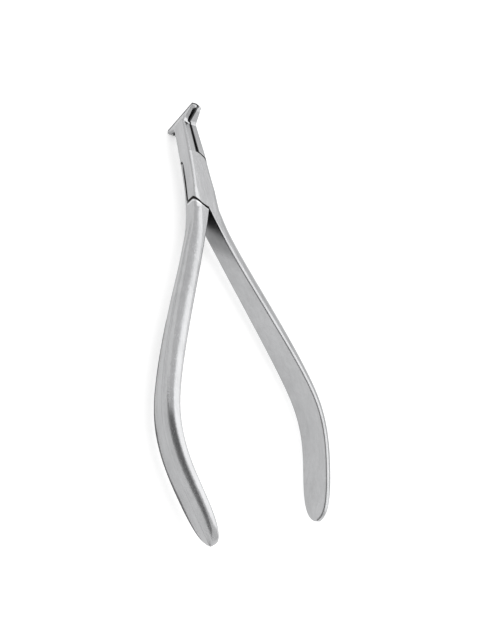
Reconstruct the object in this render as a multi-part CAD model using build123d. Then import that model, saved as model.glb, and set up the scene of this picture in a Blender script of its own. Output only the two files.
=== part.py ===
from build123d import *
import math
import os

os.makedirs("parts", exist_ok=True)

# Hammer-head orthodontic pliers, lying flat with the jaws closed.
# X runs across the jaws, Y along the tool towards the head, Z along the pivot.
# The model is built about the middle of the joint's thickness, and is lifted at the end so
# that the origin is where the pivot's axis meets the flat rear face of the joint.
# All sizes are in millimetres.

# Reach of each end from the pivot
head_reach = 26.5
handle_reach = 112.0

# Lap joint
joint_thickness = 7.5
joint_half_width = 4.1
joint_front_radius = 1.1
joint_rear_radius = 2.9
shoulder_reach = 10.4
shoulder_half_width = 3.55
front_shoulder_side_reach = 5.3
rear_shoulder_side_reach = 7.3
shoulder_bulge = 0.62
root_bulge = 0.6
lap_height = -0.7
lap_clearance = 0.12
lap_groove_width = 0.4
lap_groove_depth = 0.3
shoulder_clearance = 0.25
joint_stations = 7

# Handle roots, where the handles leave the joint
root_reach = 10.5
root_half_width = 5.3
root_corner_radius = 2.4
root_rounding_share = 0.34
root_side_reach = 5.6
root_crotch = 0.1
crotch_clearance = 0.6

# Beaks between the joint and the head
head_depth = 3.1
beak_half_width = 2.8
beak_thickness = 5.9
beak_corner_radius = 0.8
beak_gap_low = 0.8
beak_gap_high = 0.55

# Hammer head: a cross bar along Z whose arms stand out past the beaks
bar_length = 16.2
crown_left = 1.4
crown_middle = 0.9
crown_middle_drop = 0.25
crown_right = 2.05
crown_right_drop = 1.7
arm_root_left = 2.75
arm_root_right = 2.45
arm_end_left = 1.9
arm_end_right = 1.75
arm_end_drop = 1.75
arm_blank_root_drop = 5.4
cup_arm_root_drop = 4.4
nose_arm_root_drop = 3.9
nose_arm_lean = 30.0
arm_root_fillet = 1.8
arm_end_chamfer = 0.4

# Working faces: a round nose on the front half, a hooked cup on the rear half
nose_radius = 0.5
nose_top_drop = 0.75
nose_reach = 0.1
lip_reach = 0.7
lip_drop = 1.85
lip_root = 0.5
lip_gap = 0.3
lip_end_relief = 0.8
cup_depth = 1.05
cup_roof_drop = 0.32
rim_reach = 1.5
working_clearance = 0.12

# Handles: a D section, flat inside and round outside
handle_depth = 4.7
handle_end_depth = 2.8
palm_half_thickness = 5.7
root_bevel = 0.04
inner_bevel = 0.4
corner_share = 0.78
root_share = 0.16
root_depth_share = 0.06
root_turn_share = 0.12
palm_share = 0.76
taper_start = 0.28
taper_share = 0.6
end_rounding = 13.0
end_fullness = 2.2
end_flat = 0.1
end_depth_share = 0.5
handle_stations = 14

# The line of a handle's flat inner face: its spread from the middle at even steps back
waist_reach = 22.2
heel_reach = 101.8
waist_spread = 4.3
middle_spread = 12.8
hip_spread = 21.3
palm_spread = 26.3
heel_spread = 22.0
tip_spread = 19.1

# Pivot pin, blind in the front half and flush with the rear half
pivot_radius = 1.6
pivot_head_radius = 2.4
pivot_head_height = 1.1
pivot_skin = 0.9
pivot_running_clearance = 0.03
pivot_head_clearance = 0.05

half_thickness = joint_thickness / 2
half_lap = lap_clearance / 2
half_bar = bar_length / 2
beak_top = head_reach - head_depth
far = 40.0


def block(x_low, x_high, y_low, y_high, z_low, z_high):
    """A plain block between two corners."""
    middle = ((x_low + x_high) / 2, (y_low + y_high) / 2, (z_low + z_high) / 2)
    return Pos(*middle) * Box(x_high - x_low, y_high - y_low, z_high - z_low)


def slab(plan, z_low, z_high):
    """A plan outline extruded between two heights."""
    return Pos(0, 0, z_low) * extrude(plan, z_high - z_low)


def ease(amount):
    """A smooth climb from 0 to 1, held level outside that range."""
    return math.sin(min(1.0, max(0.0, amount)) * math.pi / 2) ** 2


def level(y, half_width, half_depth, front_radius, rear_radius):
    """One cross-section of the joint and beaks, square to Y, rounder behind than in front."""
    plane = Plane(origin=(0, y, 0), x_dir=(1, 0, 0), z_dir=(0, -1, 0))
    outline = Rectangle(2 * half_width, 2 * half_depth)
    outline = fillet(outline.vertices().sort_by(Axis.Y)[:2], rear_radius)
    outline = fillet(outline.vertices().sort_by(Axis.Y)[-2:], front_radius)
    return plane * outline


def joint_and_beaks(inset=0.0):
    """The envelope that both halves share, from the handle roots up to the head."""
    levels = []
    half_depth = half_thickness - inset
    for i in range(joint_stations):
        share = i / (joint_stations - 1)
        y = -root_reach + (shoulder_reach + root_reach) * share
        straight = root_half_width + (shoulder_half_width - root_half_width) * share
        waist = joint_half_width - (root_half_width + shoulder_half_width) / 2
        half_width = straight + waist * 4 * share * (1 - share) - inset
        tight = ease(share / root_rounding_share)
        front_radius = root_corner_radius + (joint_front_radius - root_corner_radius) * tight
        rear_radius = root_corner_radius + (joint_rear_radius - root_corner_radius) * tight
        levels.append(level(y, half_width, half_depth, front_radius, rear_radius))
    half_width = beak_half_width - inset
    half_depth = beak_thickness / 2 - inset
    levels.append(level(beak_top, half_width, half_depth, beak_corner_radius, beak_corner_radius))
    return loft(levels, ruled=True)


def arm_section(z, left, right, drop, inset):
    """Plan outline of the head at one height along the cross bar, drawn in by an inset."""
    bottom = head_reach - drop + inset
    crown = (inset - crown_left, head_reach - inset)
    over = (crown_middle, head_reach - crown_middle_drop - inset)
    side = (crown_right - inset, head_reach - crown_right_drop)
    outline = Curve() + [
        ThreePointArc(crown, over, side),
        Polyline(side, (right - inset, bottom), (inset - left, bottom), crown),
    ]
    return Pos(0, 0, z) * make_face(outline)


def head():
    """The cross bar with its arms, which deepen towards the beaks, before the undersides are cut."""
    root = beak_thickness / 2
    chamfer = arm_end_chamfer
    at_root = arm_section(root, arm_root_left, arm_root_right, arm_blank_root_drop, 0)
    near_end = arm_section(half_bar - chamfer, arm_end_left, arm_end_right, arm_end_drop, 0)
    at_end = arm_section(half_bar, arm_end_left, arm_end_right, arm_end_drop, chamfer)
    arm = loft([at_root, near_end], ruled=True) + loft([near_end, at_end], ruled=True)
    middle = extrude(arm_section(-root, arm_root_left, arm_root_right, cup_arm_root_drop, 0), 2 * root)
    return middle + arm + mirror(arm, Plane.XY)


def underside(root_drop, lean):
    """What is cut away below the arms, in front of and behind the beaks."""
    root = beak_thickness / 2
    root_y = head_reach - root_drop
    slope = (root_drop - arm_end_drop) / (half_bar - root)
    plane = Plane(origin=(0, 0, 0), x_dir=(0, 1, 0), z_dir=(1, 0, 0))
    corners = [
        (root_y, root),
        (root_y + slope * far, root + far),
        (root_y - far, root + far),
        (root_y - far, root),
    ]
    wedge = make_face(Polyline(*corners, close=True))
    inner = wedge.vertices().sort_by_distance((root_y, root, 0))[0]
    wedge = fillet(inner, arm_root_fillet)
    cut = extrude(plane * wedge, far, both=True)
    cut = Pos(-lip_reach, root_y, 0) * Rot(0, 0, -lean) * Pos(lip_reach, -root_y, 0) * cut
    return cut + mirror(cut, Plane.XY)


def lap_plate(shoulder_side_reach, clearance, crotch_gap):
    """Plan outline of a lap plate as the front half has it, grown by a clearance."""
    top = shoulder_reach + clearance
    side = shoulder_side_reach + clearance
    low_side = -root_side_reach - clearance
    flank = joint_half_width + clearance
    low_flank = root_half_width + clearance
    crotch = -root_crotch - clearance
    low = -root_reach - crotch_gap
    upper_middle = (flank * shoulder_bulge, top - (top - side) * (1 - shoulder_bulge))
    lower_middle = (-low_flank * root_bulge, low - (low - low_side) * (1 - root_bulge))
    outline = Curve() + [
        ThreePointArc((0, top), upper_middle, (flank, side)),
        Polyline((flank, side), (far, side), (far, -far), (crotch, -far), (crotch, low)),
        ThreePointArc((crotch, low), lower_middle, (-low_flank, low_side)),
        Polyline((-low_flank, low_side), (-far, low_side), (-far, top), (0, top)),
    ]
    return make_face(outline)


def flank_groove():
    """A shallow groove along both flanks, where the two lap plates meet."""
    low = lap_height - lap_groove_width / 2
    high = lap_height + lap_groove_width / 2
    front_plan = lap_plate(front_shoulder_side_reach, 0, 0)
    rear_plan = lap_plate(rear_shoulder_side_reach, 0, 0)
    overlap = slab(front_plan, low, high) & (Rot(0, 180, 0) * slab(rear_plan, -high, -low))
    return overlap - joint_and_beaks(lap_groove_depth)


def nose_side():
    """Plan outline of the front half's beak and its round nose."""
    lip_y = head_reach - lip_drop + working_clearance
    top_y = head_reach - nose_top_drop
    wall = -lip_reach - lip_gap
    arm_y = head_reach - cup_arm_root_drop
    tip_x = nose_reach - nose_radius
    face = Polyline(
        (-beak_gap_low / 2, 0),
        (-beak_gap_low / 2, shoulder_reach),
        (-beak_gap_high / 2, arm_y),
        (wall, arm_y + lip_root),
        (wall, lip_y),
        (tip_x, lip_y),
    )
    tip = ThreePointArc((tip_x, lip_y), (nose_reach, (lip_y + top_y) / 2), (tip_x, top_y))
    back = Polyline((tip_x, top_y), (-far, top_y), (-far, 0), (-beak_gap_low / 2, 0))
    return make_face(Curve() + [face, tip, back])


def cup_side():
    """Plan outline of the rear half's beak and its hooked cup."""
    lip_y = head_reach - lip_drop
    roof_y = head_reach - cup_roof_drop
    mouth = nose_reach + working_clearance
    arm_y = head_reach - cup_arm_root_drop
    face = Polyline(
        (beak_gap_low / 2, 0),
        (beak_gap_low / 2, shoulder_reach),
        (beak_gap_high / 2, arm_y),
        (-lip_reach, arm_y + lip_root),
        (-lip_reach, lip_y),
        (mouth, lip_y),
    )
    cup = ThreePointArc((mouth, lip_y), (cup_depth, (lip_y + roof_y) / 2), (mouth, roof_y))
    rim = [(mouth, roof_y), (-rim_reach, roof_y), (-rim_reach, far)]
    back = Polyline(*rim, (far, far), (far, 0), (beak_gap_low / 2, 0))
    return make_face(Curve() + [face, cup, back])


def lip_relief():
    """The wedges by which the lip's wall backs away towards the ends of the arms."""
    root = beak_thickness / 2
    plane = Plane(origin=(0, head_reach - lip_drop, 0), x_dir=(1, 0, 0), z_dir=(0, -1, 0))
    end = (lip_end_relief - lip_reach, half_bar)
    wedge = make_face(Polyline((-lip_reach, root), end, (-lip_reach, half_bar), close=True))
    wedge = extrude(plane * wedge, far)
    return wedge + mirror(wedge, Plane.XY)


def handle_section(place, depth, half, corner_depth, corner_height, bevel):
    """A D section: flat inside with bevelled edges, round outside."""
    flat = depth - corner_depth
    high = half - corner_height
    outline = Curve() + [
        Line((0, bevel - half), (0, half - bevel)),
        Line((0, half - bevel), (bevel, half)),
        Line((bevel, half), (flat, half)),
        EllipticalCenterArc((flat, high), corner_depth, corner_height, start_angle=0, arc_size=90),
        Line((depth, high), (depth, -high)),
        EllipticalCenterArc((flat, -high), corner_depth, corner_height, start_angle=270, arc_size=90),
        Line((flat, -half), (bevel, -half)),
        Line((bevel, -half), (0, bevel - half)),
    ]
    return place * make_face(outline)


def handle():
    """The right-hand handle, lofted along the line of its flat inner face."""
    spreads = [waist_spread, middle_spread, hip_spread, palm_spread, heel_spread]
    step = (heel_reach - waist_reach) / (len(spreads) - 1)
    bends = [(spread, -waist_reach - i * step) for i, spread in enumerate(spreads)]
    line = Spline((root_crotch, -root_reach), *bends, (tip_spread, -handle_reach))
    sections = []
    for i in range(handle_stations):
        share = (1 - math.cos(math.pi * i / (handle_stations - 1))) / 2
        tangent = line % share
        turn = ease(share / root_turn_share)
        outward = Vector(1 - turn - tangent.Y * turn, tangent.X * turn, 0)
        place = Plane(origin=line @ share, x_dir=outward, z_dir=(outward.Y, -outward.X, 0))
        left = max(0.0, 1 - line.length * (1 - share) / end_rounding)
        closing = max(end_flat, (1 - left**end_fullness) ** (1 / end_fullness))
        half = half_thickness + (palm_half_thickness - half_thickness) * ease(share / palm_share)
        depth = handle_depth + (handle_end_depth - handle_depth) * ease((share - taper_start) / taper_share)
        root_depth = root_half_width - root_crotch
        depth = root_depth + (depth - root_depth) * ease(share / root_depth_share)
        half *= closing
        depth *= end_depth_share + (1 - end_depth_share) * closing
        blend = ease(share / root_share)
        corner_depth = root_corner_radius + (corner_share * depth - root_corner_radius) * blend
        corner_height = root_corner_radius + (corner_share * half - root_corner_radius) * blend
        bevel = (root_bevel + (inner_bevel - root_bevel) * blend) * closing
        sections.append(handle_section(place, depth, half, corner_depth, corner_height, bevel))
    return loft(sections)


def half(side):
    """One half of the pliers: side 1 is the front half, side -1 the rear half."""
    swap = Pos(0, 0, 0) if side > 0 else Rot(0, 180, 0)
    own_reach, other_reach = front_shoulder_side_reach, rear_shoulder_side_reach
    if side < 0:
        own_reach, other_reach = other_reach, own_reach
    plate = slab(lap_plate(own_reach, 0, 0), side * lap_height + half_lap, far)
    pocket = lap_plate(other_reach, shoulder_clearance, crotch_clearance)
    pocket = swap * Rot(0, 180, 0) * slab(pocket, -side * lap_height - half_lap, far)
    root = swap * block(root_crotch, far, -far, 0, -far, far)
    if side > 0:
        jaw = slab(nose_side(), -far, far)
        below = underside(nose_arm_root_drop, nose_arm_lean)
    else:
        jaw = slab(cup_side(), -far, far) - lip_relief()
        below = underside(cup_arm_root_drop, 0)
    blank = joint_and_beaks() - flank_groove() + (head() - below)
    return (blank & (swap * plate + (jaw + root - pocket))) + (swap * handle() - pocket)


def pivot():
    """The pivot pin: a plain shaft, and a head ground flush with the rear face."""
    shaft = slab(Circle(pivot_radius), -far, half_thickness - pivot_skin)
    disc = slab(Circle(pivot_head_radius), -far, -half_thickness + pivot_head_height)
    return (shaft + disc) & joint_and_beaks()


def pivot_bore(side):
    """The pin's hole: a tight fit in the front half, a running fit in the rear half."""
    if side > 0:
        return slab(Circle(pivot_radius), -far, half_thickness - pivot_skin)
    hole = slab(Circle(pivot_radius + pivot_running_clearance), -far, far)
    seat_top = -half_thickness + pivot_head_height + pivot_head_clearance
    return hole + slab(Circle(pivot_head_radius + pivot_head_clearance), -far, seat_top)


nodes = {
    "front_half": half(1) - pivot_bore(1),
    "rear_half": half(-1) - pivot_bore(-1),
    "pivot_pin": pivot(),
}
for name, solid in nodes.items():
    export_step(Pos(0, 0, half_thickness) * solid, f"parts/{name}.step")
    print(name, len(solid.solids()), round(solid.volume, 1))
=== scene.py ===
from typing import NamedTuple

import bpy
from bpy.props import FloatProperty, FloatVectorProperty, PointerProperty
from mathutils import Matrix, Vector


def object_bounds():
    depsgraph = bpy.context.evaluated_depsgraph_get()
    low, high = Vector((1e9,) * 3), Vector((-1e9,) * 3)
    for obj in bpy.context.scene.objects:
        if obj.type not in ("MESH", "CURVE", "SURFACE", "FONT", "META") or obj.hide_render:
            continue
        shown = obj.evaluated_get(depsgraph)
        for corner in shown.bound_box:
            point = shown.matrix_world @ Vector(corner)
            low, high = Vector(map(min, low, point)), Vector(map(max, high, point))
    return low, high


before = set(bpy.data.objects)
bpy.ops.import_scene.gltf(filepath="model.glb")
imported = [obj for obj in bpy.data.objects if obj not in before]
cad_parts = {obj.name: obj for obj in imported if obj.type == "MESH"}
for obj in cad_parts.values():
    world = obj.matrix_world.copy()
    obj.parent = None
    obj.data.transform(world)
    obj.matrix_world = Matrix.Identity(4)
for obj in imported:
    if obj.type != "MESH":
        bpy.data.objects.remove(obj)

bl_info = {
    "name": "Orthodontic Pliers",
    "version": (1, 0, 0),
    "blender": (4, 5, 0),
    "location": "3D View > Sidebar > Pliers",
    "description": "Satin steel finish and studio for lap-jointed orthodontic pliers",
    "category": "Object",
}

CAD_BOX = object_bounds()


# Settings

class SteelSettings(bpy.types.PropertyGroup):
    """The satin steel of both halves and the pivot pin."""

    color: FloatVectorProperty(
        name="Steel Color",
        description="Reflected color of the satin steel",
        subtype="COLOR",
        size=3,
        default=(0.40, 0.402, 0.408),
        min=0.0,
        max=1.0,
    )
    roughness: FloatProperty(
        name="Satin Roughness",
        description="Roughness of the fine satin finish",
        default=0.24,
        min=0.05,
        max=1.0,
    )
    grain_width: FloatProperty(
        name="Grain Width",
        description="Width of the fine polishing marks",
        default=0.00022,
        unit="LENGTH",
    )
    grain_length: FloatProperty(
        name="Grain Length",
        description="Length of the fine polishing marks along the tool",
        default=0.006,
        unit="LENGTH",
    )
    edge_width: FloatProperty(
        name="Edge Width",
        description="Width of the softened edges",
        default=0.00026,
        unit="LENGTH",
    )


class StageSettings(bpy.types.PropertyGroup):
    """The floor, the lamps, the shading card and the camera."""

    floor_color: FloatVectorProperty(
        name="Floor Color",
        description="Color of the plain pale floor",
        subtype="COLOR",
        size=3,
        default=(0.75, 0.75, 0.75),
        min=0.0,
        max=1.0,
    )
    floor_lift: FloatProperty(
        name="Floor Lift",
        description="How much the floor is lifted towards white where it is looked at",
        default=0.45,
        min=0.0,
        max=1.0,
    )
    overhead_power: FloatProperty(
        name="Overhead Lamp Power",
        description="Power of the large soft lamp above the tool",
        default=7.2,
        unit="POWER",
    )
    overhead_size: FloatProperty(
        name="Overhead Lamp Size",
        description="Side of the square lamp above the tool",
        default=1.4,
        unit="LENGTH",
    )
    overhead_height: FloatProperty(
        name="Overhead Lamp Height",
        description="Height of the large lamp above the joint's rear face",
        default=0.8,
        unit="LENGTH",
    )
    fill_power: FloatProperty(
        name="Fill Lamp Power",
        description="Power of the small soft lamp at the right of the handles",
        default=0.4,
        unit="POWER",
    )
    card_color: FloatVectorProperty(
        name="Shading Card Color",
        description="Color of the dark card that draws a line in the polished handles",
        subtype="COLOR",
        size=3,
        default=(0.30, 0.30, 0.30),
        min=0.0,
        max=1.0,
    )
    lens: FloatProperty(
        name="Camera Lens",
        description="Focal length on a 36 mm wide film, for the longer side of the picture",
        default=34.318,
        unit="CAMERA",
    )


# Shader values

MIX_FACTOR, MIX_FIRST, MIX_SECOND, MIX_RESULT = 0, 6, 7, 2


class Value:
    """A socket that carries one number, on which Python sums can be written."""

    def __init__(self, finish, socket):
        self.finish = finish
        self.socket = socket

    def maths(self, operation, *terms):
        """Adds a Math node that works on the terms in their order."""
        settings = {"operation": operation}
        return self.finish.node("ShaderNodeMath", settings, dict(enumerate(terms)))

    def __add__(self, other):
        return self.maths("ADD", self, other)

    def __radd__(self, other):
        return self.maths("ADD", other, self)

    def __sub__(self, other):
        return self.maths("SUBTRACT", self, other)

    def __rsub__(self, other):
        return self.maths("SUBTRACT", other, self)

    def __mul__(self, other):
        return self.maths("MULTIPLY", self, other)

    def __rmul__(self, other):
        return self.maths("MULTIPLY", other, self)

    def __neg__(self):
        return self.maths("MULTIPLY", self, -1.0)

    def absolute(self):
        return self.maths("ABSOLUTE", self)

    def root(self):
        return self.maths("SQRT", self)

    def held(self):
        """The value, held between 0 and 1."""
        return self.maths("MINIMUM", self.maths("MAXIMUM", self, 0.0), 1.0)

    def ramp(self, low, high):
        """A smooth climb from 0 at low to 1 at high."""
        settings = {"interpolation_type": "SMOOTHSTEP"}
        inputs = {"Value": self, "From Min": low, "From Max": high}
        return self.finish.node("ShaderNodeMapRange", settings, inputs, "Result")

    def fall(self, low, high):
        """A smooth fall from 1 at low to 0 at high."""
        return 1.0 - self.ramp(low, high)

    def near(self, middle, half, soft):
        """1 where the value is within half of the middle, then fading to 0 over soft."""
        return (self - middle).absolute().fall(half, half + soft)

    def between(self, low, high, soft):
        """1 between two values, fading to 0 over soft outside them."""
        return self.ramp(low - soft, low) * self.fall(high, high + soft)


class Finish:
    """The node tree of a material or of the world, filled from Python."""

    def __init__(self, owner):
        owner.use_nodes = True
        self.tree = owner.node_tree
        self.tree.nodes.clear()

    def node(self, kind, settings=None, inputs=None, output=0):
        """Adds a node with its settings and its input values or links, and gives one output."""
        made = self.tree.nodes.new(kind)
        for key, value in (settings or {}).items():
            setattr(made, key, value)
        for key, value in (inputs or {}).items():
            if isinstance(value, Value):
                self.tree.links.new(value.socket, made.inputs[key])
            else:
                made.inputs[key].default_value = value
        return Value(self, made.outputs[output]) if len(made.outputs) else None

    def place(self):
        """The point on the piece, in metres."""
        return self.node("ShaderNodeTexCoord", output="Object")

    def part_of(self, vector, axis):
        """One coordinate of a vector."""
        return self.node("ShaderNodeSeparateXYZ", None, {"Vector": vector}, axis)

    def rings(self, x, y, z):
        """Places laid out in rings about the pivot, in metres, for marks left by turning."""
        inputs = {"X": reach_of(x, y) * METRES, "Z": z * METRES}
        return self.node("ShaderNodeCombineXYZ", None, inputs)

    def noise(self, vector, scale, detail, roughness):
        """Soft noise that swings about 0.5."""
        inputs = {"Vector": vector, "Scale": scale, "Detail": detail, "Roughness": roughness}
        return self.node("ShaderNodeTexNoise", None, inputs, "Fac")

    def softened(self, radius):
        """The surface's direction, rounded off near its edges."""
        settings = {"samples": BEVEL_SAMPLES}
        return self.node("ShaderNodeBevel", settings, {"Radius": radius})

    def mixed(self, share, first, second):
        """A colour between two colours."""
        inputs = {MIX_FACTOR: share, MIX_FIRST: first, MIX_SECOND: second}
        return self.node("ShaderNodeMix", {"data_type": "RGBA"}, inputs, MIX_RESULT)

    def seen_rays(self):
        """1 for rays from the camera and for mirrored or refracted rays, else 0."""
        kinds = ("Is Camera Ray", "Is Glossy Ray", "Is Transmission Ray")
        camera, glossy, refracted = [
            self.node("ShaderNodeLightPath", output=kind) for kind in kinds
        ]
        return (camera + glossy + refracted).held()


def gray(level, tint=(1.0, 1.0, 1.0)):
    """An opaque colour of one level, times a tint."""
    return (*(level * part for part in tint), 1.0)


def reach_of(x, y):
    """How far a point is from the pivot's axis."""
    return (x * x + y * y).root()


# Places of the marks, in millimetres: x across the tool, y along it and z up from its rear face.
# A pair of places holds where a mark is just missing and where it is full, or the other way round.

MILLIMETRES = 1000.0
METRES = 0.001


class Arc(NamedTuple):
    """A circle on the plan of the joint."""

    x: float
    y: float
    radius: float

    def line(self, x, y, half):
        """1 on the circle's line and within half of it, then fading to 0."""
        return reach_of(x - self.x, y - self.y).near(self.radius, half, SEAM_SOFT)


# Faces of the joint, and the plane where its halves meet
FRONT_HEIGHT = 7.5
MIDDLE_HEIGHT = FRONT_HEIGHT / 2
LAP_HEIGHT = 3.05
LAP_SOFT = 0.2

# Curved parting lines at the upper and lower ends of the joint
FRONT_SHOULDER = Arc(-3.076, 3.729, 7.46)
REAR_SHOULDER = Arc(-1.113, 4.667, 5.96)
ROOT_ARC = Arc(3.446, -1.528, 9.80)
SEAM_SOFT = 0.16
UPPER_SEAM_HALF = 0.19
UPPER_SEAM_START = (-0.15, 0.05)
UPPER_SEAM_FOOT = (4.8, 5.1)
LOWER_SEAM_HALF = 0.25
LOWER_SEAM_SWELL = 0.14
LOWER_SEAM_SWELLING = (-2.6, -0.6)
LOWER_SEAM_END = (-0.1, 0.15)
LOWER_SEAM_TOP = (-5.6, -5.2)

# Straight parting line along each flank
FLANK_SEAM_HALF = 0.38
FLANK_SEAM_SOFT = 0.1
FLANK_SIDE = (3.55, 3.75)
FLANK_SEAM_FOOT, FLANK_SEAM_TOP, FLANK_END_SOFT = -5.9, 7.2, 0.4

# Painted highlights along the handles' roots
RIM_ARC = ROOT_ARC._replace(radius=ROOT_ARC.radius + 0.62)
RIM_HALF = 0.1
RIM_END = (-0.4, -0.1)
RIM_TOP = (-6.4, -5.9)

# Inner walls of the beaks, which lean together towards the head, where shade is painted
BEAK_FOOT = 10.4
BEAK_WALL_SIDE = 0.74
BEAK_WALL_LEAN = -0.018
BEAK_WALL_SKIN = (-0.08, 0.08)
BEAK_WALL_FOOT, BEAK_WALL_TOP, BEAK_END_SOFT = 10.5, 21.4, 0.4

# Inside of the cup's arms, where shade is painted, by how far they stand out from the middle
# height
CUP_START = 2.95
CUP_WALL_SIDE = -0.7
CUP_WALL_LEAN = 0.155
CUP_SKIN, CUP_SOFT = 0.4, 0.2
CUP_FOOT, CUP_TOP = 22.0, 24.7
CUP_DEPTH = (2.7, 2.95)

# Inner walls of the handles, where shade is painted near the crotch, by how far down from the
# crotch they are
CROTCH = -10.5
HANDLE_WALL_START, HANDLE_WALL_SLOPE, HANDLE_WALL_BOW = 0.1, 0.33, 0.0021
HANDLE_WALL_SKIN = (-0.8, -0.3)
HANDLE_WALL_EDGE = (3.1, 3.5)
HANDLE_WALL_TOP = (-10.4, -10.1)
FRONT_SIDE, REAR_SIDE = 1.0, -1.0

# Places along those walls between which the painted shade fades, slanted on the front half
SHADE_SLANT = 1.05
DEEP_SHADE, FAINT_SHADE = (-24.0, -11.5), (-31.5, -25.0)
DEEP_SHARE = 0.64
REAR_SHADE = (-30.0, -16.0)

# Upper end of the painted shade line along the handles' rolled edges
ROLLED_TOP = (-18.0, -14.0)

# Rim of the pin's head, and the height at which its shaft starts
PIN_HEAD_RIM = (2.2, 2.38)
PIN_SHAFT = (1.0, 1.2)


# Marks on the steel

def above_lap(z):
    """1 above the plane where the halves meet, and 0 below it."""
    return z.ramp(LAP_HEIGHT - LAP_SOFT, LAP_HEIGHT)


def plate_seams(x, y, shoulder):
    """The two curved parting lines on one face of the joint, as seen with that face up."""
    upper = shoulder.line(x, y, UPPER_SEAM_HALF)
    upper = upper * x.ramp(*UPPER_SEAM_START) * y.ramp(*UPPER_SEAM_FOOT)
    half = x.ramp(*LOWER_SEAM_SWELLING) * LOWER_SEAM_SWELL + LOWER_SEAM_HALF
    lower = ROOT_ARC.line(x, y, half) * x.fall(*LOWER_SEAM_END) * y.fall(*LOWER_SEAM_TOP)
    return upper + lower


def seam_grime(x, y, z):
    """The dark oily lines where the halves part, on both faces and on the flanks."""
    front = above_lap(z)
    faces = plate_seams(x, y, FRONT_SHOULDER) * front
    faces = faces + plate_seams(-x, y, REAR_SHOULDER) * (1.0 - front)
    flanks = z.near(LAP_HEIGHT, FLANK_SEAM_HALF, FLANK_SEAM_SOFT) * x.absolute().ramp(*FLANK_SIDE)
    return faces + flanks * y.between(FLANK_SEAM_FOOT, FLANK_SEAM_TOP, FLANK_END_SOFT)


def rim_highlight_line(x, y):
    """The painted highlight along one handle's root, as seen with its face up."""
    return RIM_ARC.line(x, y, RIM_HALF) * x.fall(*RIM_END)


def root_rim_highlights(x, y, z):
    """The painted highlights along the handles' roots, just below the lower parting lines."""
    front = above_lap(z)
    return (rim_highlight_line(x, y) * front + rim_highlight_line(-x, y) * (1.0 - front)) * y.fall(*RIM_TOP)


def beak_wall_shade(x, y):
    """Painted shade on the inner walls of the beaks, where the gap between them lies in shade."""
    side = (y - BEAK_FOOT) * BEAK_WALL_LEAN + BEAK_WALL_SIDE
    ends = y.between(BEAK_WALL_FOOT, BEAK_WALL_TOP, BEAK_END_SOFT)
    return (x.absolute() - side).fall(*BEAK_WALL_SKIN) * ends


def cup_wall_shade(x, y, z):
    """Painted shade inside the hooked cup's arms, where the groove between the arms lies in shade.
    """
    depth = (z - MIDDLE_HEIGHT).absolute()
    side = (depth - CUP_START) * CUP_WALL_LEAN + CUP_WALL_SIDE
    ends = y.between(CUP_FOOT, CUP_TOP, CUP_SOFT) * depth.ramp(*CUP_DEPTH)
    return x.near(side, CUP_SKIN, CUP_SOFT) * ends


def handle_wall(x, y, z, side):
    """The inner wall of one handle, clear of its rolled edges, where shade is painted near the
    crotch.
    """
    down = CROTCH - y
    face = down * HANDLE_WALL_SLOPE + down * down * HANDLE_WALL_BOW + HANDLE_WALL_START
    depth = (z - MIDDLE_HEIGHT).absolute().fall(*HANDLE_WALL_EDGE)
    return (face - x * side).ramp(*HANDLE_WALL_SKIN) * depth * y.fall(*HANDLE_WALL_TOP)


def front_marks(x, y, z):
    """The grime along the parting lines, and the painted shade on the inner walls of the beaks and
    of the front half's handle near the crotch.
    """
    slanted = y - (FRONT_HEIGHT - z) * SHADE_SLANT
    shade = slanted.ramp(*DEEP_SHADE) * DEEP_SHARE
    shade = shade + slanted.ramp(*FAINT_SHADE) * (1.0 - DEEP_SHARE)
    return seam_grime(x, y, z), handle_wall(x, y, z, FRONT_SIDE) * shade + beak_wall_shade(x, y)


def rear_marks(x, y, z):
    """The grime along the parting lines, and the painted shade on the inner walls of the beaks, of
    the cup's arms and of the rear half's handle near the crotch.
    """
    wall = handle_wall(x, y, z, REAR_SIDE) * y.ramp(*REAR_SHADE)
    return seam_grime(x, y, z), wall + beak_wall_shade(x, y) + cup_wall_shade(x, y, z)


def pin_marks(x, y, z):
    """The grime round the pin's head, and its unpolished shaft."""
    return reach_of(x, y).ramp(*PIN_HEAD_RIM), z.ramp(*PIN_SHAFT)


# The satin steel

class Strokes(NamedTuple):
    """Marks drawn out along the tool, as multiples of the grain's width and length."""

    span: tuple
    turn: tuple
    detail: float
    roughness: float

    def drawn(self, finish, place, settings):
        """The noise of these marks."""
        width, length = settings.grain_width, settings.grain_length
        scale = (width * self.span[0], length * self.span[1], width * self.span[2])
        inputs = {"Vector": place, "Scale": scale, "Rotation": self.turn}
        along = finish.node("ShaderNodeMapping", {"vector_type": "TEXTURE"}, inputs)
        return finish.noise(along, 1.0, self.detail, self.roughness)


# Patterns of polishing and of use
GRAIN = Strokes((1.0, 1.0, 1.0), (0.0, 0.0, 0.0), 2.0, 0.6)
STREAKS = Strokes((5.0, 4.0, 5.0), (0.0, 0.0, 0.0), 2.0, 0.5)
LEANING_SCRATCHES = Strokes((0.5, 1.5, 0.5), (0.0, 0.0, 0.16), 1.0, 0.4)
CROSSING_SCRATCHES = Strokes((1.0, 1.0, 0.6), (0.55, 0.0, -0.3), 1.0, 0.4)
LEANING_CUT, CROSSING_CUT = (0.66, 0.74), (0.70, 0.76)
CLOUD_SIZE, CLOUD_DETAIL, CLOUD_ROUGHNESS = 0.009, 3.0, 0.55
NOISE_MIDDLE = 0.5

# How much each pattern sways the steel
TONE_WEIGHTS = {"clouds": 1.1, "streaks": 1.1, "grain": 1.2}
HEIGHT_WEIGHTS = {"grain": 0.6, "streaks": 0.12, "scratches": -0.5}
ROUGHNESS_WEIGHTS = {"clouds": 0.06, "grain": 0.12, "scratches": 0.06, "edge": -0.05}
WEAR_WEIGHTS = {"edge": 0.4, "scratches": 0.25}

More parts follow.
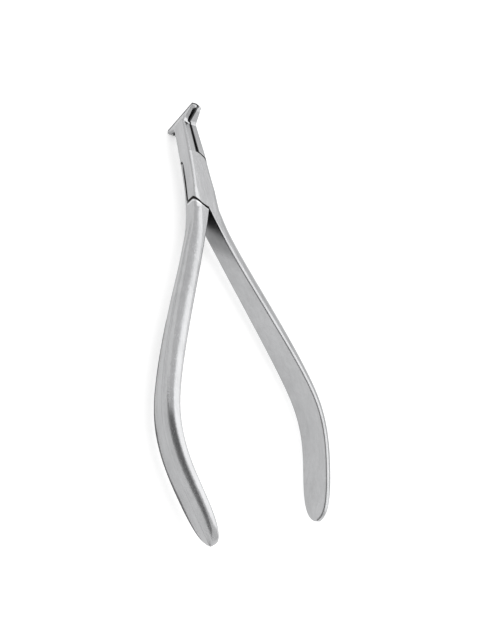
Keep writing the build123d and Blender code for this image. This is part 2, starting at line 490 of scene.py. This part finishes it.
# Levels of the steel's own colour, and of the painted highlight and painted shade
DARK_TONE, BRIGHT_TONE = 0.90, 1.10
WORN_LEVEL = 1.25
RIM_HIGHLIGHT_LEVEL = 1.4
EDGE_SHADE_LEVEL, EDGE_SHADE_SHARE = 0.10, 0.95
# Level of the painted shade on the halves' inner walls, also used for the pin's unpolished shaft
UNPOLISHED_AND_SHADE_LEVEL, UNPOLISHED_ROUGHNESS = 0.14, 0.2

# Oily grime
GRIME_COLOR = (0.020, 0.018, 0.017)
GRIME_ROUGHNESS, GRIME_SHEEN = 0.6, 0.15

# Rounding of the edges and depth of the marks
BEVEL_SAMPLES = 6
EDGE_BEND = (0.004, 0.08)
ROLLED_WIDTH = 4.0
ROLLED_RISE = (0.01, 0.06)
WALL_LEAN = (0.15, 0.35)
BUMP_STRENGTH, BUMP_DISTANCE = 0.05, 0.0002


def weighed(patterns, weights):
    """The sum of some patterns, each times its weight."""
    terms = [patterns[name] * weight for name, weight in weights.items()]
    total = terms[0]
    for term in terms[1:]:
        total = total + term
    return total


def worn_edges(finish, rounded, flat):
    """1 along the edges, where the rounded direction leaves the flat one."""
    inputs = {0: rounded, 1: flat}
    settings = {"operation": "DOT_PRODUCT"}
    alike = finish.node("ShaderNodeVectorMath", settings, inputs, "Value")
    return (1.0 - alike).ramp(*EDGE_BEND)


def edge_shade_line(finish, y, flat, edge_width):
    """A painted shade line along the rolled front edge, on the walls of the handles."""
    upright = finish.part_of(flat, 2)
    rounded = finish.part_of(finish.softened(edge_width * ROLLED_WIDTH), 2)
    walls = upright.absolute().fall(*WALL_LEAN)
    return (rounded - upright).ramp(*ROLLED_RISE) * walls * y.fall(*ROLLED_TOP)


def satin_steel(name, settings, marks, turned=False):
    """Fine satin steel with polishing marks, soft edges, faint scratches and grime, with painted
    shade on the inner walls, a painted shade line along the handles' front edges and painted
    highlights along the handles' roots.
    """
    material = bpy.data.materials.new(name)
    finish = Finish(material)
    place = finish.place()
    x, y, z = [finish.part_of(place, axis) * MILLIMETRES for axis in range(3)]
    laid = finish.rings(x, y, z) if turned else place
    grime, dull_and_shade = [mark.held() for mark in marks(x, y, z)]
    rounded = finish.softened(settings.edge_width)
    flat = finish.node("ShaderNodeNewGeometry", output="Normal")

    clouds = finish.noise(place, 1.0 / CLOUD_SIZE, CLOUD_DETAIL, CLOUD_ROUGHNESS)
    scratches = LEANING_SCRATCHES.drawn(finish, place, settings).ramp(*LEANING_CUT)
    crossing = CROSSING_SCRATCHES.drawn(finish, place, settings).ramp(*CROSSING_CUT)
    patterns = {
        "clouds": clouds - NOISE_MIDDLE,
        "streaks": STREAKS.drawn(finish, laid, settings) - NOISE_MIDDLE,
        "grain": GRAIN.drawn(finish, laid, settings) - NOISE_MIDDLE,
        "scratches": scratches + crossing,
        "edge": worn_edges(finish, rounded, flat),
    }
    rolled = edge_shade_line(finish, y, flat, settings.edge_width)

    base = tuple(settings.color)
    tone = (weighed(patterns, TONE_WEIGHTS) + NOISE_MIDDLE).held()
    color = finish.mixed(tone, gray(DARK_TONE, base), gray(BRIGHT_TONE, base))
    color = finish.mixed(weighed(patterns, WEAR_WEIGHTS), color, gray(WORN_LEVEL, base))
    # Painted highlight along the handles' roots
    color = finish.mixed(root_rim_highlights(x, y, z), color, gray(RIM_HIGHLIGHT_LEVEL, base))
    # Painted shade line along the handles' rolled front edges
    color = finish.mixed(rolled * EDGE_SHADE_SHARE, color, gray(EDGE_SHADE_LEVEL, base))
    # Painted shade on the halves' inner walls, and the pin's unpolished shaft
    color = finish.mixed(dull_and_shade, color, gray(UNPOLISHED_AND_SHADE_LEVEL, base))
    color = finish.mixed(grime, color, gray(1.0, GRIME_COLOR))

    roughness = weighed(patterns, ROUGHNESS_WEIGHTS) + settings.roughness
    roughness = roughness + dull_and_shade * UNPOLISHED_ROUGHNESS
    roughness = roughness * (1.0 - grime) + grime * GRIME_ROUGHNESS
    bump = {
        "Strength": BUMP_STRENGTH,
        "Distance": BUMP_DISTANCE,
        "Height": weighed(patterns, HEIGHT_WEIGHTS),
        "Normal": rounded,
    }
    inputs = {
        "Base Color": color,
        "Metallic": 1.0 - grime,
        "Roughness": roughness,
        "Specular IOR Level": GRIME_SHEEN,
        "Normal": finish.node("ShaderNodeBump", None, bump),
    }
    shader = finish.node("ShaderNodeBsdfPrincipled", None, inputs)
    finish.node("ShaderNodeOutputMaterial", None, {"Surface": shader})
    return material


def dress(node, material):
    """Gives a CAD node its finish."""
    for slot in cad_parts[node].material_slots:
        slot.link = "OBJECT"
        slot.material = material


# The stage, in metres

# Floor and surroundings
FLOOR_HALF = 4.0
FAR_FLOOR = (0.3, 1.0)
FAR_LIFT = 0.2
WORLD_LIT, WORLD_SEEN = 0.5, 1.0

# Lamps
OVERHEAD_X, OVERHEAD_Y = -0.08, -0.045
FILL_PLACE = (0.5, -0.4, 0.3)
FILL_SIZE = 0.4
HANDLES_MIDDLE = (0.0, -0.045, 0.0)

# Shading card, bent up at its far side, which puts a painted dark reflection into the handles,
# with a strip under the left handle's outer edge that stands in as a painted shadow beneath it
CARD_LEVEL = 0.0002
CARD_NEAR_EDGE = ((-0.045, -0.24, 0.0), (-0.065, -0.03, 0.0))
CARD_FOLD = ((-0.13, -0.24, 0.0), (-0.13, -0.03, 0.0))
CARD_TOP_EDGE = ((-0.14, -0.24, 0.05), (-0.14, -0.03, 0.09))
LEFT_HANDLE_EDGE = (
    (-0.020, -0.112),
    (-0.0255, -0.100),
    (-0.0293, -0.080),
    (-0.0245, -0.060),
    (-0.0185, -0.045),
)
STRIP_OUT, STRIP_IN = 0.0013, 0.010

# Camera
CAMERA_PLACE = (-0.116123, -0.107999, 0.140303)
CAMERA_RIGHT = (0.780417, -0.196351, 0.593630)
CAMERA_UP = (-0.011290, 0.944833, 0.327358)
CAMERA_BACK = (-0.625158, -0.262177, 0.735147)
CAMERA_SHIFT = (0.02606, 0.05492)
FILM_WIDTH = 36.0
NEAR_CLIP, FAR_CLIP = 0.01, 10.0


def area_lamp(name, place, target, size, power):
    """A square soft lamp that looks at a point."""
    light = bpy.data.lights.new(name, "AREA")
    light.shape = "SQUARE"
    light.size = size
    light.energy = power
    lamp = bpy.data.objects.new(name, light)
    lamp.location = place
    aim = Vector(target) - Vector(place)
    lamp.rotation_euler = aim.to_track_quat("-Z", "Y").to_euler()
    bpy.context.scene.collection.objects.link(lamp)


def sheet(name, corners, faces, material):
    """A flat or folded sheet with no thickness."""
    mesh = bpy.data.meshes.new(name)
    mesh.from_pydata(corners, [], faces)
    mesh.materials.append(material)
    made = bpy.data.objects.new(name, mesh)
    bpy.context.scene.collection.objects.link(made)
    return made


def pale_floor(settings):
    """A plain pale floor that is lifted towards white where it is looked at."""
    material = bpy.data.materials.new("pale_floor")
    finish = Finish(material)
    plain = finish.node("ShaderNodeBsdfDiffuse", None, {"Color": gray(1.0, settings.floor_color)})
    glow = finish.node("ShaderNodeEmission", None, {"Color": gray(1.0), "Strength": 1.0})
    inputs = {0: finish.place()}
    reach = finish.node("ShaderNodeVectorMath", {"operation": "LENGTH"}, inputs, "Value")
    lift = finish.seen_rays() * (reach.ramp(*FAR_FLOOR) * FAR_LIFT + settings.floor_lift)
    lifted = finish.node("ShaderNodeMixShader", None, {0: lift, 2: glow})
    both = finish.node("ShaderNodeAddShader", None, {0: plain, 1: lifted})
    finish.node("ShaderNodeOutputMaterial", None, {"Surface": both})
    return material


def dark_card(settings):
    """Plain dark card."""
    material = bpy.data.materials.new("dark_card")
    finish = Finish(material)
    plain = finish.node("ShaderNodeBsdfDiffuse", None, {"Color": gray(1.0, settings.card_color)})
    finish.node("ShaderNodeOutputMaterial", None, {"Surface": plain})
    return material


# Operators

class PLIERS_OT_finish_halves(bpy.types.Operator):
    """Give both halves their satin steel"""

    bl_idname = "pliers.finish_halves"
    bl_label = "Finish Halves"

    def execute(self, context):
        settings = context.scene.pliers_steel
        dress("front_half", satin_steel("front_satin_steel", settings, front_marks))
        dress("rear_half", satin_steel("rear_satin_steel", settings, rear_marks))
        return {"FINISHED"}


class PLIERS_OT_finish_pivot(bpy.types.Operator):
    """Give the pivot pin its ground steel"""

    bl_idname = "pliers.finish_pivot"
    bl_label = "Finish Pivot Pin"

    def execute(self, context):
        settings = context.scene.pliers_steel
        dress("pivot_pin", satin_steel("pin_ground_steel", settings, pin_marks, turned=True))
        return {"FINISHED"}


class PLIERS_OT_build_stage(bpy.types.Operator):
    """Lay the floor and set up the lamps, the world and the camera"""

    bl_idname = "pliers.build_stage"
    bl_label = "Build Stage"

    def execute(self, context):
        settings = context.scene.pliers_stage
        self.lay_floor(settings)
        self.set_world(context.scene)
        self.hang_lamps(settings)
        self.set_shading_card(settings)
        self.set_camera(context.scene, settings)
        context.scene.view_settings.view_transform = "Standard"
        return {"FINISHED"}

    def lay_floor(self, settings):
        """Lays the floor at the level of the part's lowest point."""
        level = CAD_BOX[0].z
        turns = ((-1, -1), (1, -1), (1, 1), (-1, 1))
        corners = [(FLOOR_HALF * x, FLOOR_HALF * y, level) for x, y in turns]
        floor = sheet("floor", corners, [(0, 1, 2, 3)], pale_floor(settings))

    def set_world(self, scene):
        """Makes the studio white, and brighter to rays that look at it."""
        world = bpy.data.worlds.new("studio")
        finish = Finish(world)
        lit, seen = [
            finish.node("ShaderNodeBackground", None, {"Color": gray(1.0), "Strength": strength})
            for strength in (WORLD_LIT, WORLD_SEEN)
        ]
        inputs = {0: finish.seen_rays(), 1: lit, 2: seen}
        both = finish.node("ShaderNodeMixShader", None, inputs)
        finish.node("ShaderNodeOutputWorld", None, {"Surface": both})
        scene.world = world

    def hang_lamps(self, settings):
        """Hangs the large lamp overhead, and the small one at the right."""
        above = Vector((OVERHEAD_X, OVERHEAD_Y, settings.overhead_height))
        below = above - Vector((0.0, 0.0, 1.0))
        size, power = settings.overhead_size, settings.overhead_power
        area_lamp("overhead_lamp", above, below, size, power)
        area_lamp("fill_lamp", FILL_PLACE, HANDLES_MIDDLE, FILL_SIZE, settings.fill_power)

    def set_shading_card(self, settings):
        """Lays a dark card beside and under the left handle, which only mirrored rays meet: a
        painted dark reflection, and under the handle a painted shadow.
        """
        level = CAD_BOX[0].z + CARD_LEVEL
        corners = [(x, y, level + z) for x, y, z in CARD_NEAR_EDGE + CARD_FOLD + CARD_TOP_EDGE]
        faces = [(0, 1, 3, 2), (2, 3, 5, 4)]
        strip = len(corners)
        # The strip is a painted shadow under the left handle's outer edge, seen only in
        # reflections
        for x, y in LEFT_HANDLE_EDGE:
            corners += [(x - STRIP_OUT, y, level), (x + STRIP_IN, y, level)]
        for start in range(strip, len(corners) - 2, 2):
            faces.append((start, start + 1, start + 3, start + 2))
        card = sheet("shading_card", corners, faces, dark_card(settings))
        card.visible_camera = False
        card.visible_diffuse = False
        card.visible_shadow = False

    def set_camera(self, scene, settings):
        """Sets the camera in front of the pliers, at their left."""
        data = bpy.data.cameras.new("camera")
        data.lens = settings.lens
        data.sensor_width = FILM_WIDTH
        data.shift_x, data.shift_y = CAMERA_SHIFT
        data.clip_start, data.clip_end = NEAR_CLIP, FAR_CLIP
        turn = Matrix((CAMERA_RIGHT, CAMERA_UP, CAMERA_BACK)).transposed().to_4x4()
        camera = bpy.data.objects.new("camera", data)
        camera.matrix_world = Matrix.Translation(CAMERA_PLACE) @ turn
        scene.collection.objects.link(camera)
        scene.camera = camera


class PLIERS_PT_panel(bpy.types.Panel):
    """Buttons and sizes for the pliers"""

    bl_label = "Orthodontic Pliers"
    bl_space_type = "VIEW_3D"
    bl_region_type = "UI"
    bl_category = "Pliers"

    def draw(self, context):
        column = self.layout.column()
        for key in SteelSettings.__annotations__:
            column.prop(context.scene.pliers_steel, key)
        column.operator(PLIERS_OT_finish_halves.bl_idname)
        column.operator(PLIERS_OT_finish_pivot.bl_idname)
        for key in StageSettings.__annotations__:
            column.prop(context.scene.pliers_stage, key)
        column.operator(PLIERS_OT_build_stage.bl_idname)


CLASSES = (
    SteelSettings,
    StageSettings,
    PLIERS_OT_finish_halves,
    PLIERS_OT_finish_pivot,
    PLIERS_OT_build_stage,
    PLIERS_PT_panel,
)


def register():
    for kind in CLASSES:
        bpy.utils.register_class(kind)
    bpy.types.Scene.pliers_steel = PointerProperty(type=SteelSettings)
    bpy.types.Scene.pliers_stage = PointerProperty(type=StageSettings)


def unregister():
    del bpy.types.Scene.pliers_stage
    del bpy.types.Scene.pliers_steel
    for kind in reversed(CLASSES):
        bpy.utils.unregister_class(kind)


def main():
    """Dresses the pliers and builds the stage."""
    register()
    bpy.ops.pliers.finish_halves()
    bpy.ops.pliers.finish_pivot()
    bpy.ops.pliers.build_stage()


if __name__ == "__main__":
    main()
